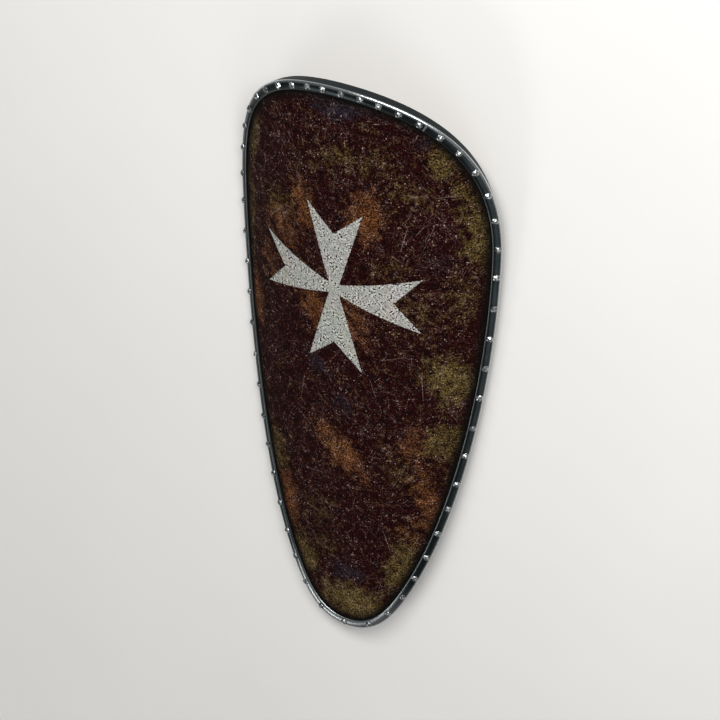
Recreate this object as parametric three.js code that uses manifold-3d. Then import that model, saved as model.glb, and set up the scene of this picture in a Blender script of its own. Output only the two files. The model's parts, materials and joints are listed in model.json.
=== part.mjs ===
// A long kite shield with a rounded top and a rounded toe, lying face up on the two sides of its rim.
// A bent wooden board sits in a rolled steel rim, which a row of domed nails holds on all round.
// Two leather straps, one for the forearm and one for the hand, are nailed across its hollow back.
//
// The board and the rim are laid out flat, as they are cut: x across, y up the shield with 0 at the
// level of the painted cross, z out of the painted face. bend() then curls them round one upright axis.
import * as THREE from "three";
import { mergeVertices } from "three/addons/utils/BufferGeometryUtils.js";
import Module from "manifold-3d";

// Driving dimensions, in millimetres and degrees.
const FACE_RADIUS = 375; // bend of the painted face
const BOARD_THICKNESS = 15;

// Inner edge of the rim, right half: top, widest point, where the toe begins, bottom.
const TOP_Y = 352;
const HALF_WIDTH = 242.5;
const WIDEST_Y = 90;
const TOE_HALF_WIDTH = 117;
const TOE_START_Y = -594;
const TOE_LEAN_DEG = 24; // of the sides, from upright, where the toe begins
const BOTTOM_Y = -716;
// How far each of the outline's three curves pulls along its tangents.
const TOP_PULL = 132;
const SHOULDER_PULL = 182;
const FLANK_PULL = 225;
const LOWER_PULL = 191;
const TOE_PULL = 98;
const BOTTOM_PULL = 51;

const RIM_WIDTH = 16; // across the painted face
const RIM_STAND = 4; // above the board, front and back
const RIM_SHEET = 2; // thickness of the steel
const RIM_BEVEL = 0.8; // inner edge, front
const RIM_NOSE = 2.5; // outer corners
const RIM_STEPS_PER_CURVE = 14;
const SEAM_STEP = 5; // of the first curve's steps, where the rim's two ends meet
const SEAM_HALF_GAP = 0.001; // of the first curve

const NAILS_PER_SIDE = 25; // besides the ones at top and bottom centre
const NAIL_LINE = 8; // outside the rim's inner edge
const NAIL_HEAD_RADIUS = 6;
const NAIL_HEAD_HEIGHT = 4;
const NAIL_SHANK = 3.6; // square
const NAIL_LENGTH = 14;
// The nails stand closer together round the top than along the sides.
const NAIL_BUNCHING = 0.07;
const NAIL_SPREADING = 0.029;

const BOARD_ROWS = 36;
const BOARD_COLUMNS = 13;
const BACK_STRIP = 30; // width of the flat strip down the middle of the board

const STRAP_WIDTH = 40;
const STRAP_THICKNESS = 4;
const STRAP_END = 44; // length that lies on the board at each end
const STRAP_LEVEL = 40; // height of the straps' middle
const STRAP_SEAT = 1.4; // a flat strap bridges the hollow board by this much
const STRAP_STEPS = 16;
const ARM_STRAP = { name: "arm_strap", at: 95, span: 170, stand: 60 };
const HAND_STRAP = { name: "hand_strap", at: -95, span: 140, stand: 48 };

const GAP = 0.3; // between pieces that touch
const LIP_GAP = 0.8; // between the rim's lips and the board, whose bend is in flats
const EDGE_GAP = 1.2; // between the board's edge and the steel round it
const REST_TILT_DEG = 3.84; // top end up, when the shield's weight is over the two sides it lies on

const CURVES_PER_SIDE = 3;
const BOARD_EDGE = RIM_WIDTH - RIM_SHEET - EDGE_GAP;
const FIRST_ROW = 0.06; // the board's ends are cut square inside the rim
const LAST_ROW = CURVES_PER_SIDE - FIRST_ROW;

const paintedWood = new THREE.MeshStandardMaterial({ color: 0x4b2a24, roughness: 0.75, metalness: 0 });
const rimSteel = new THREE.MeshStandardMaterial({ color: 0x4a5355, roughness: 0.4, metalness: 1 });
const nailSteel = new THREE.MeshStandardMaterial({ color: 0xa8a9a6, roughness: 0.3, metalness: 1 });
const leather = new THREE.MeshStandardMaterial({ color: 0x4d3222, roughness: 0.7, metalness: 0 });

const wasm = await Module();
wasm.setup();

function toSolid(geometry) {
  const bare = geometry.clone();
  bare.deleteAttribute("normal");
  bare.deleteAttribute("uv");
  const merged = mergeVertices(bare, 1e-3);
  return new wasm.Manifold(
    new wasm.Mesh({
      numProp: 3,
      vertProperties: new Float32Array(merged.attributes.position.array),
      triVerts: new Uint32Array(merged.index.array),
    }),
  );
}

function toGeometry(solid) {
  const mesh = solid.getMesh();
  const geometry = new THREE.BufferGeometry();
  geometry.setAttribute("position", new THREE.BufferAttribute(new Float32Array(mesh.vertProperties), 3));
  geometry.setIndex(new THREE.BufferAttribute(new Uint32Array(mesh.triVerts), 1));
  geometry.computeVertexNormals();
  return geometry;
}

function subtractAll(solid, cutters) {
  return cutters.reduce((left, cutter) => left.subtract(cutter), solid);
}

// Outline

const point = (x, y) => new THREE.Vector2(x, y);
const toeLean = THREE.MathUtils.degToRad(TOE_LEAN_DEG);
const toeWay = point(-Math.sin(toeLean), -Math.cos(toeLean));
const toeStart = point(TOE_HALF_WIDTH, TOE_START_Y);

const sideCurves = [
  new THREE.CubicBezierCurve(
    point(0, TOP_Y),
    point(TOP_PULL, TOP_Y),
    point(HALF_WIDTH, WIDEST_Y + SHOULDER_PULL),
    point(HALF_WIDTH, WIDEST_Y),
  ),
  new THREE.CubicBezierCurve(
    point(HALF_WIDTH, WIDEST_Y),
    point(HALF_WIDTH, WIDEST_Y - FLANK_PULL),
    toeStart.clone().addScaledVector(toeWay, -LOWER_PULL),
    toeStart,
  ),
  new THREE.CubicBezierCurve(
    toeStart,
    toeStart.clone().addScaledVector(toeWay, TOE_PULL),
    point(BOTTOM_PULL, BOTTOM_Y),
    point(0, BOTTOM_Y),
  ),
];

// A point of the right half: place counts the curves from the top, and offset is outwards.
function edgePoint(place, offset) {
  const which = Math.min(Math.floor(place), CURVES_PER_SIDE - 1);
  const onEdge = sideCurves[which].getPoint(place - which);
  const way = sideCurves[which].getTangent(place - which);
  return onEdge.add(point(-way.y, way.x).multiplyScalar(offset));
}

// The rim's inner edge, clockwise from the seam right round to it again.
class RimLine extends THREE.Curve {
  getPoint(t) {
    const loop = 2 * CURVES_PER_SIDE;
    const seam = SEAM_STEP / RIM_STEPS_PER_CURVE;
    const place = (seam + SEAM_HALF_GAP + t * (loop - 2 * SEAM_HALF_GAP)) % loop;
    const onRight = place <= CURVES_PER_SIDE;
    const edge = edgePoint(onRight ? place : loop - place, 0);
    return new THREE.Vector3(onRight ? edge.x : -edge.x, edge.y, 0);
  }

  // Stations are even along each curve, so they are closest where the toe is round.
  getUtoTmapping(u) {
    return u;
  }
}

function bend(geometry) {
  const position = geometry.attributes.position;
  for (let i = 0; i < position.count; i += 1) {
    const angle = position.getX(i) / FACE_RADIUS;
    const radius = FACE_RADIUS + position.getZ(i);
    position.setXYZ(i, radius * Math.sin(angle), position.getY(i), radius * Math.cos(angle) - FACE_RADIUS);
  }
  return geometry;
}

// A frame on the bent board: x across it, y up it, z straight out of it.
function frameOnBoard(x, y, z) {
  const angle = x / FACE_RADIUS;
  const radius = FACE_RADIUS + z;
  return new THREE.Matrix4()
    .makeRotationY(angle)
    .setPosition(radius * Math.sin(angle), y, radius * Math.cos(angle) - FACE_RADIUS);
}

// Board

// The middle column keeps its width, so the back has a flat strip, and the others share the rest.
function acrossBoard(across, halfWidth) {
  const middle = 1 / BOARD_COLUMNS;
  const strip = Math.min(BACK_STRIP / 2, halfWidth * middle);
  const beyond = Math.max(Math.abs(across) - middle, 0) / (1 - middle);
  const inStrip = Math.min(Math.abs(across) / middle, 1);
  return Math.sign(across) * (strip * inStrip + beyond * (halfWidth - strip));
}

function makeBoard() {
  const box = new THREE.BoxGeometry(2, 1, BOARD_THICKNESS, BOARD_COLUMNS, BOARD_ROWS, 1);
  const position = box.attributes.position;
  for (let i = 0; i < position.count; i += 1) {
    const down = 0.5 - position.getY(i);
    const edge = edgePoint(FIRST_ROW + down * (LAST_ROW - FIRST_ROW), BOARD_EDGE);
    const x = acrossBoard(position.getX(i), edge.x);
    position.setXYZ(i, x, edge.y, position.getZ(i) - BOARD_THICKNESS / 2);
  }
  return toSolid(bend(box));
}

// Rim

// A channel rolled from sheet, with both lips turned in to meet the board: x is the depth below the
// painted face, y is outwards.
function makeRim() {
  const front = -RIM_STAND;
  const back = BOARD_THICKNESS + RIM_STAND;
  const section = new THREE.Shape([
    point(-LIP_GAP, 0),
    point(front + RIM_BEVEL, 0),
    point(front, RIM_BEVEL),
    point(front, RIM_WIDTH - RIM_NOSE),
    point(front + RIM_NOSE, RIM_WIDTH),
    point(back - RIM_NOSE, RIM_WIDTH),
    point(back, RIM_WIDTH - RIM_NOSE),
    point(back, 0),
    point(BOARD_THICKNESS + LIP_GAP, 0),
    point(BOARD_THICKNESS + LIP_GAP, RIM_SHEET),
    point(back - RIM_SHEET, RIM_SHEET),
    point(back - RIM_SHEET, RIM_WIDTH - RIM_SHEET),
    point(front + RIM_SHEET, RIM_WIDTH - RIM_SHEET),
    point(front + RIM_SHEET, RIM_SHEET),
    point(-LIP_GAP, RIM_SHEET),
  ]);
  const channel = new THREE.ExtrudeGeometry(section, {
    steps: 2 * CURVES_PER_SIDE * RIM_STEPS_PER_CURVE,
    bevelEnabled: false,
    extrudePath: new RimLine(),
  });
  return toSolid(bend(channel));
}

// Nails

// Length along the nails' line of the right half, to set out the nails by.
function nailLine() {
  const samples = 600;
  const line = [{ place: 0, length: 0 }];
  let last = edgePoint(0, NAIL_LINE);
  let length = 0;
  for (let i = 1; i <= samples; i += 1) {
    const place = (i / samples) * CURVES_PER_SIDE;
    const next = edgePoint(place, NAIL_LINE);
    length += next.distanceTo(last);
    line.push({ place, length });
    last = next;
  }
  return line;
}

function nailPlaces() {
  const line = nailLine();
  const total = line[line.length - 1].length;
  const places = [];
  for (let i = 0; i <= NAILS_PER_SIDE + 1; i += 1) {
    const share = i / (NAILS_PER_SIDE + 1);
    const bunched = NAIL_BUNCHING * Math.sin(Math.PI * share);
    const spread = NAIL_SPREADING * Math.sin(2 * Math.PI * share);
    const wanted = total * (share - bunched - spread);
    const nearest = line.find((sample) => sample.length >= wanted - 1e-6) ?? line[line.length - 1];
    places.push(edgePoint(nearest.place, NAIL_LINE));
  }
  const left = places.slice(1, -1).reverse().map((place) => point(-place.x, place.y));
  return [...places, ...left];
}

// The nail stands on z = 0, with its domed head above and its shank below.
function nailSolid(length) {
  const dome = new THREE.LatheGeometry(
    [
      point(0, 0),
      point(NAIL_HEAD_RADIUS, 0),
      point(NAIL_HEAD_RADIUS * 0.72, NAIL_HEAD_HEIGHT * 0.62),
      point(0, NAIL_HEAD_HEIGHT),
    ],
    8,
  );
  dome.rotateX(Math.PI / 2);
  return toSolid(dome).add(shankSolid(NAIL_SHANK, length, 1));
}

function shankSolid(side, below, above) {
  const shank = new THREE.BoxGeometry(side, side, below + above);
  shank.translate(0, 0, (above - below) / 2);
  return toSolid(shank);
}

const holeSolid = (length) => shankSolid(NAIL_SHANK + 2 * GAP, length + GAP, GAP * 2);

const moved = (solid, matrix) => solid.transform(matrix.elements);

// Straps

// Side view of a strap: flat ends on the board, and a loop between them that stands off it.
function strapProfile(strap) {
  const half = strap.span / 2;
  const line = [];
  for (let i = 0; i <= STRAP_STEPS; i += 1) {
    const y = -half + (strap.span * i) / STRAP_STEPS;
    line.push(point(y, ((strap.stand - STRAP_THICKNESS) / 2) * (1 + Math.cos((Math.PI * y) / half))));
  }
  line.unshift(point(-half - STRAP_END, 0));
  line.push(point(half + STRAP_END, 0));
  const outer = line.map((here, i) => {
    const before = line[Math.max(i - 1, 0)];
    const after = line[Math.min(i + 1, line.length - 1)];
    const way = after.clone().sub(before).normalize();
    return here.clone().add(point(-way.y, way.x).multiplyScalar(STRAP_THICKNESS));
  });
  return new THREE.Shape([...line, ...outer.reverse()]);
}

const strapFrame = (strap, y) => frameOnBoard(strap.at, y, -BOARD_THICKNESS - STRAP_SEAT);

const strapNailPlaces = (strap) => {
  const reach = strap.span / 2 + STRAP_END / 2;
  return [STRAP_LEVEL + reach, STRAP_LEVEL - reach];
};

// Strap nails point out of the back, so they are turned over.
function strapNailFrame(strap, y) {
  const turnedOver = new THREE.Matrix4().makeRotationY(Math.PI);
  turnedOver.setPosition(0, 0, -STRAP_THICKNESS - GAP);
  return strapFrame(strap, y).multiply(turnedOver);
}

function makeStrap(strap) {
  const strip = new THREE.ExtrudeGeometry(strapProfile(strap), { depth: STRAP_WIDTH, bevelEnabled: false });
  // From side view to a strip that runs up the board and loops out of its back.
  strip.translate(0, 0, -STRAP_WIDTH / 2);
  strip.applyMatrix4(
    new THREE.Matrix4().makeBasis(
      new THREE.Vector3(0, 1, 0),
      new THREE.Vector3(0, 0, -1),
      new THREE.Vector3(-1, 0, 0),
    ),
  );
  return moved(toSolid(strip), strapFrame(strap, STRAP_LEVEL));
}

// Shield

const shield = new THREE.Group();

function place(name, solid, material) {
  const mesh = new THREE.Mesh(toGeometry(solid), material);
  mesh.name = name;
  shield.add(mesh);
}

const rimNails = nailPlaces().map((at) => frameOnBoard(at.x, at.y, RIM_STAND + GAP));
const straps = [ARM_STRAP, HAND_STRAP];
const strapNails = straps.map((strap) => strapNailPlaces(strap).map((y) => strapNailFrame(strap, y)));

const rimHoles = rimNails.map((frame) => moved(holeSolid(NAIL_LENGTH), frame));
const strapHoles = strapNails.map((frames) => frames.map((frame) => moved(holeSolid(NAIL_LENGTH), frame)));

place("board", subtractAll(makeBoard(), [...rimHoles, ...strapHoles.flat()]), paintedWood);
place("steel_rim", subtractAll(makeRim(), rimHoles), rimSteel);

rimNails.forEach((frame, i) => {
  place(`rim_nail_${String(i + 1).padStart(2, "0")}`, moved(nailSolid(NAIL_LENGTH), frame), nailSteel);
});

straps.forEach((strap, i) => {
  place(strap.name, subtractAll(makeStrap(strap), strapHoles[i]), leather);
  strapNails[i].forEach((frame, end) => {
    const name = `${strap.name}_nail_${end === 0 ? "upper" : "lower"}`;
    place(name, moved(nailSolid(NAIL_LENGTH), frame), nailSteel);
  });
});

// The shield lies on the floor at z = 0, with the middle of its box over the origin.
shield.rotation.x = THREE.MathUtils.degToRad(REST_TILT_DEG);
const lying = new THREE.Box3().setFromObject(shield, true);
shield.position.y = -(lying.min.y + lying.max.y) / 2;
shield.position.z = -lying.min.z;

export default shield;
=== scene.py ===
import json
import math
import random
from functools import partial

import bpy
import numpy as np
from mathutils import Matrix, Vector


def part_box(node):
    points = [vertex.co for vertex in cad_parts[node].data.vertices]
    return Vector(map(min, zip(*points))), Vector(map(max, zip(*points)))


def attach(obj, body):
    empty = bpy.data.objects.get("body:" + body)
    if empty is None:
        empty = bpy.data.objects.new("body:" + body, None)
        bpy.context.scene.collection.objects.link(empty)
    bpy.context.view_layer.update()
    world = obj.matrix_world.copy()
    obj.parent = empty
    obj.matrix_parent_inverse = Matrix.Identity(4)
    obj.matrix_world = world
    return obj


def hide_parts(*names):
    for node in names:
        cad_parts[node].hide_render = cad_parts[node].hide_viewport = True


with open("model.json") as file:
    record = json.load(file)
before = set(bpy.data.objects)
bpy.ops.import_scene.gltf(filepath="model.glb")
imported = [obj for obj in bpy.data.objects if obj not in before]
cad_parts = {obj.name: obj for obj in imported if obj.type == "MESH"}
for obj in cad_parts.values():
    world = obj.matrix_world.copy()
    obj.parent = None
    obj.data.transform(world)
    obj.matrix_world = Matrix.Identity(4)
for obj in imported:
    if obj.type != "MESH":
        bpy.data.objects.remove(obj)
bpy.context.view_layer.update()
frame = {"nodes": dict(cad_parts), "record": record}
print("frame loaded")

# Everything is laid out flat first, as it was cut: x across, y up the shield with 0 at the level of
# the cross, z out of the painted face. Then it is bent round one upright axis and laid down.
mm = 0.001
tiny = 0.01 * mm     # less than this is no distance

# the field, which is what shows inside the rim; the pulls are Bezier handle lengths
shieldShape = {
    "bendRadius": 375 * mm,
    "boardThickness": 15 * mm,
    "top": 352 * mm,
    "topPull": 132 * mm,
    "halfWidth": 242.5 * mm,
    "widestAt": 90 * mm,
    "shoulderPull": 182 * mm,
    "flankPull": 225 * mm,
    "toeHalfWidth": 117 * mm,
    "toeStart": -594 * mm,
    "toeLean": math.radians(24),
    "lowerPull": 191 * mm,
    "toePull": 98 * mm,
    "bottom": -716 * mm,
    "bottomPull": 51 * mm,
}
bendRadius = shieldShape["bendRadius"]
backLevel = -shieldShape["boardThickness"]

rimSteel = {
    "width": 16 * mm,
    "stand": 4 * mm,             # above the board, front and back
    "sheet": 2 * mm,
    "lipGap": 0.8 * mm,
    "crown": 7.4 * mm,           # the front is domed, and this far from its inner edge it is highest
    "innerRound": 1.5 * mm,      # on the back
    "outerRound": 3 * mm,        # fall of the dome at the wall
    "backRound": 3.8 * mm,       # the corner that it lies on
    "roundSteps": 5,
    "curveSteps": 64,
    "seamAt": 5 / 14,            # share of the first curve, where the two ends meet
    "seamGap": 0.6 * mm,
    "sawDepth": 60 * mm,
    "wallRows": (8 * mm, 14 * mm),   # below the front, for the knocks to move
    "dents": ("CLOUDS", 38 * mm, 0.22 * mm),
    "dentsFrom": -16 * mm,       # none on the back, which it lies on
    "dentsTo": -8 * mm,          # and their full depth above this
    "smoothBelow": 35,           # degrees
}


def clearSelection():
    if bpy.context.object and bpy.context.object.mode != "OBJECT":
        bpy.ops.object.mode_set(mode="OBJECT")
    bpy.ops.object.select_all(action="DESELECT")


def pick(piece):
    clearSelection()
    piece.select_set(True)
    bpy.context.view_layer.objects.active = piece


def named(name):
    # the new primitive, with its place moved into its mesh
    piece = bpy.context.object
    piece.name = name
    piece.data.name = name
    bpy.ops.object.transform_apply(location=True, rotation=True, scale=True)
    return piece


def editAll(piece):
    # editing ends with doneEditing(), or when a piece is next picked
    pick(piece)
    bpy.ops.object.mode_set(mode="EDIT")
    bpy.ops.mesh.select_mode(type="VERT")
    bpy.ops.mesh.select_all(action="SELECT")


def editFaces(piece, wanted):
    # leaves the piece in edit mode with the faces chosen by wanted(face)
    editAll(piece)
    bpy.ops.mesh.select_mode(type="FACE")
    bpy.ops.mesh.select_all(action="DESELECT")
    bpy.ops.object.mode_set(mode="OBJECT")
    for face in piece.data.polygons:
        face.select = wanted(face)
    bpy.ops.object.mode_set(mode="EDIT")


def editVertices(piece, wanted):
    editAll(piece)
    bpy.ops.mesh.select_all(action="DESELECT")
    bpy.ops.object.mode_set(mode="OBJECT")
    for vertex in piece.data.vertices:
        vertex.select = wanted(vertex.co)
    bpy.ops.object.mode_set(mode="EDIT")


def doneEditing():
    bpy.ops.object.mode_set(mode="OBJECT")


def extrude(*way):
    bpy.ops.mesh.extrude_region_move(TRANSFORM_OT_translate={"value": way})


def applyModifier(piece, kind, **settings):
    pick(piece)
    modifier = piece.modifiers.new(kind.title(), kind)
    for key, value in settings.items():
        setattr(modifier, key, value)
    bpy.ops.object.modifier_apply(modifier=modifier.name)


def dent(piece, group, direction, name, pattern, size, depth):
    # moves the group's vertices by a pattern
    texture = bpy.data.textures.new(name, pattern)
    texture.noise_scale = size
    applyModifier(piece, "DISPLACE", texture=texture, direction=direction, texture_coords="LOCAL",
                  strength=depth, mid_level=0.5, vertex_group=group)


def keepValues(piece, name, values):
    # one for each vertex, for its material to read
    piece.data.attributes.new(name, "FLOAT", "POINT").data.foreach_set("value", values)


def mapFlat(piece, placeOf):
    flat = piece.data.uv_layers.new(name="flat")
    for loop in piece.data.loops:
        flat.data[loop.index].uv = placeOf(piece.data.vertices[loop.vertex_index].co)


def share(value, low, high):
    # 0 at low and below, 1 at high and above
    return min(max((value - low) / (high - low), 0), 1)


def fixNormals(piece):
    editAll(piece)
    bpy.ops.mesh.remove_doubles(threshold=tiny)
    bpy.ops.mesh.normals_make_consistent(inside=False)
    doneEditing()


def smooth(piece, degrees):
    pick(piece)
    bpy.ops.object.shade_smooth_by_angle(angle=math.radians(degrees))


def bezierPoint(curve, t):
    a, b, c, d = (Vector(point) for point in curve)
    return a * (1 - t) ** 3 + b * 3 * t * (1 - t) ** 2 + c * 3 * t * t * (1 - t) + d * t ** 3


def bezierWay(curve, t):
    a, b, c, d = (Vector(point) for point in curve)
    return ((b - a) * (1 - t) ** 2 + (c - b) * 2 * t * (1 - t) + (d - c) * t * t).normalized()


def rightCurves():
    s = shieldShape
    way = Vector((-math.sin(s["toeLean"]), -math.cos(s["toeLean"])))
    widest = Vector((s["halfWidth"], s["widestAt"]))
    toe = Vector((s["toeHalfWidth"], s["toeStart"]))
    return [
        ((0, s["top"]), (s["topPull"], s["top"]), widest + Vector((0, s["shoulderPull"])), widest),
        (widest, widest - Vector((0, s["flankPull"])), toe - way * s["lowerPull"], toe),
        (toe, toe + way * s["toePull"], (s["bottomPull"], s["bottom"]), (0, s["bottom"])),
    ]


def edgePoint(place, offset):
    # place counts the three curves down the right half; offset is outwards
    curves = rightCurves()
    which = min(int(place), len(curves) - 1)
    at = bezierPoint(curves[which], place - which)
    way = bezierWay(curves[which], place - which)
    outwards = Vector((-way.y, way.x))
    return at + outwards * offset, outwards


def allRound(stepsPerCurve, offset):
    # (point, outward normal) clockwise from the top
    right = [edgePoint(i / stepsPerCurve, offset) for i in range(3 * stepsPerCurve + 1)]
    left = [(Vector((-p.x, p.y)), Vector((-n.x, n.y))) for p, n in reversed(right[1:-1])]
    return right + left


def bend(piece):
    # curls flat work round the upright axis behind it; the empty's x points up the shield, its y out
    # of the face and its z across
    clearSelection()
    bpy.ops.object.empty_add(location=(0, 0, 0), rotation=(math.radians(90), 0, math.radians(90)))
    guide = bpy.context.object
    bpy.context.view_layer.update()
    across = [corner[0] for corner in piece.bound_box]
    width = max(across) - min(across)
    applyModifier(piece, "SIMPLE_DEFORM", deform_method="BEND", deform_axis="X", origin=guide,
                  angle=-width / bendRadius)
    bpy.data.objects.remove(guide)


def onBoard(x, y, z):
    # the place and turn of a small thing that sits on the bent board at the flat point (x, y)
    angle = x / bendRadius
    radius = bendRadius + z
    at = Vector((radius * math.sin(angle), y, radius * math.cos(angle) - bendRadius))
    return Matrix.Translation(at) @ Matrix.Rotation(angle, 4, "Y")


# The flat strip on the back is level across and leans with the shield, which gives the tilt that it
# lies at. The strip's plane gives its height, and the rim's box where it lies along the floor.
backStrip = next(m for m in frame["record"]["mounts"] if m["name"] == "back_strip")
restTilt = math.atan2(backStrip["axis"][1], -backStrip["axis"][2])


stripHalf = 15 * mm
cadSteps = 14        # the CAD's facets in each curve of the outline


def findLyingPlace():
    turn = Matrix.Rotation(restTilt, 4, "X")
    backRadius = bendRadius + backLevel
    stripLevel = backRadius * math.cos(stripHalf / backRadius) - bendRadius
    ys = []
    front = rimSteel["stand"] - rimSteel["outerRound"]
    for point, outwards in allRound(cadSteps, rimSteel["width"]):
        for z in (front, backLevel - front):
            ys.append((turn @ onBoard(point.x, point.y, z).translation).y)
    low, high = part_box("steel_rim")
    alongFloor = (low.y + high.y) / 2 - (min(ys) + max(ys)) / 2
    mountAt = Vector(backStrip["pos_m"])
    flatY = (mountAt.y - alongFloor + stripLevel * math.sin(restTilt)) / math.cos(restTilt)
    height = mountAt.z - (flatY * math.sin(restTilt) + stripLevel * math.cos(restTilt))
    return Matrix.Translation((0, alongFloor, height)) @ turn


lyingPlace = findLyingPlace()
print("it lies tilted by", round(math.degrees(restTilt), 2), "degrees")


def layDown(piece, node):
    piece.data.transform(lyingPlace)
    piece.data.update()
    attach(piece, "root")
    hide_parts(node)


fineSteps = 80
blockSize = 4000     # vertices at a time, so that the table of gaps stays small


def insideDistances(piece):
    # how far each vertex is inside the field's outline, less than 0 under the rim
    places = np.zeros(len(piece.data.vertices) * 3)
    piece.data.vertices.foreach_get("co", places)
    places = places.reshape(-1, 3)[:, :2]
    line = allRound(fineSteps, 0)
    points = np.array([point[:] for point, outwards in line])
    ways = np.array([outwards[:] for point, outwards in line])
    inside = np.zeros(len(places))
    for start in range(0, len(places), blockSize):
        block = places[start:start + blockSize]
        gaps = block[:, None, :] - points[None, :, :]
        nearest = (gaps ** 2).sum(2).argmin(1)
        rows = np.arange(len(block))
        inside[start:start + blockSize] = -(gaps[rows, nearest] * ways[nearest]).sum(1)
    return inside


paintedBoard = {
    "cell": 10 * mm,
    "faceCuts": 3,               # each cell of the painted face is divided this often
    "edgeIn": 12.8 * mm,         # how far the board runs in under the rim
    "outlineSteps": 28,          # saw cuts for each of the six curves
    "plankWidth": 76.5 * mm,     # one plank is in the middle, and there are joints to both sides of it
    "jointsEachSide": 3,
    "jointHalf": 0.9 * mm,
    "jointDepth": 1.3 * mm,
    "reliefFade": 12 * mm,       # the relief dies out this close to the rim
    # the old board's slow waves, its knocks and its pits: pattern, size and depth
    "relief": {
        "swell": ("CLOUDS", 90 * mm, 1.1 * mm),
        "dents": ("CLOUDS", 22 * mm, 0.7 * mm),
        "pits": ("STUCCI", 7 * mm, 0.45 * mm),
    },
    "smoothBelow": 40,
    "paintedAbove": 0.35,        # a face that points up more than this is painted
    "oak": ("#4e3a28", "#8a6c4c"),
    "poreColour": "#24180f",
    "oakGrain": (9, 1.8, 80),    # rings, pores and handled places, mm
}


def makeBoard():
    s = shieldShape
    b = paintedBoard
    width = 2 * (s["halfWidth"] + b["edgeIn"])
    height = s["top"] - s["bottom"] + 2 * b["edgeIn"]
    clearSelection()
    bpy.ops.mesh.primitive_grid_add(x_subdivisions=round(width / b["cell"]),
                                    y_subdivisions=round(height / b["cell"]),
                                    size=1, location=(0, (s["top"] + s["bottom"]) / 2, 0))
    board = bpy.context.object
    board.scale = (width, height, 1)
    named("paintedBoard")
    for point, outwards in allRound(b["outlineSteps"], b["edgeIn"]):
        editAll(board)
        bpy.ops.mesh.bisect(plane_co=(point.x, point.y, 0), plane_no=(outwards.x, outwards.y, 0),
                            clear_outer=True)
    bpy.ops.mesh.select_all(action="SELECT")
    extrude(0, 0, backLevel)
    fixNormals(board)
    # plank joints run down the bare back
    for count in range(-b["jointsEachSide"], b["jointsEachSide"]):
        joint = (count + 0.5) * b["plankWidth"]
        for side in (-1, 0, 1):
            editFaces(board, lambda face: face.normal.z < -0.5)
            bpy.ops.mesh.bisect(plane_co=(joint + side * b["jointHalf"], 0, 0), plane_no=(1, 0, 0))
        editVertices(board, lambda co: abs(co.x - joint) < tiny and co.z < backLevel / 2)
        bpy.ops.transform.translate(value=(0, 0, b["jointDepth"]))
    # the front is divided finely enough to take the dents
    editFaces(board, lambda face: face.normal.z > 0.5)
    bpy.ops.mesh.quads_convert_to_tris(quad_method="BEAUTY", ngon_method="BEAUTY")
    bpy.ops.mesh.tris_convert_to_quads()
    bpy.ops.mesh.subdivide(number_cuts=b["faceCuts"])
    doneEditing()
    inside = insideDistances(board)
    keepValues(board, "edgeDistance", inside)
    mapFlat(board, lambda co: co.xy)
    face = board.vertex_groups.new(name="face")
    for vertex in board.data.vertices:
        if vertex.co.z > -tiny:
            face.add([vertex.index], share(inside[vertex.index], 0, b["reliefFade"]), "REPLACE")
    for name, (pattern, size, depth) in b["relief"].items():
        dent(board, "face", "Z", name, pattern, size, depth)
    bend(board)
    smooth(board, b["smoothBelow"])
    return board


def rimProfile():
    # the bent sheet's section: x outwards from the field, y up from the board's face
    r = rimSteel
    front = r["stand"]
    back = backLevel - r["stand"]
    sheet = r["sheet"]
    lip = r["lipGap"]

    def corner(x, y, radius, startDegrees):
        points = []
        for i in range(r["roundSteps"] + 1):
            turn = math.radians(startDegrees - 90 * i / r["roundSteps"])
            points.append((x + radius * math.cos(turn), y + radius * math.sin(turn)))
        return points

    outer = [(0, lip)]
    for i in range(1, 4 * r["roundSteps"] + 1):
        turn = math.pi * (i / (4 * r["roundSteps"]) - 0.5)
        reach, fall = (r["crown"], front - lip) if turn < 0 else (r["width"] - r["crown"], r["outerRound"])
        outer.append((r["crown"] + reach * math.sin(turn), front - fall * (1 - math.cos(turn))))
    outer += [(r["width"], front - down) for down in r["wallRows"]]
    outer += corner(r["width"] - r["backRound"], back + r["backRound"], r["backRound"], 0)
    outer += [(r["width"] * 0.5, back)]
    outer += corner(r["innerRound"], back + r["innerRound"], r["innerRound"], 270)
    outer += [(0, backLevel - lip)]
    inner = [(sheet, backLevel - lip), (sheet, back + sheet), (r["width"] - sheet, back + sheet),
             (r["width"] - sheet, front - sheet), (sheet, front - sheet), (sheet, lip)]
    return outer + inner


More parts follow.
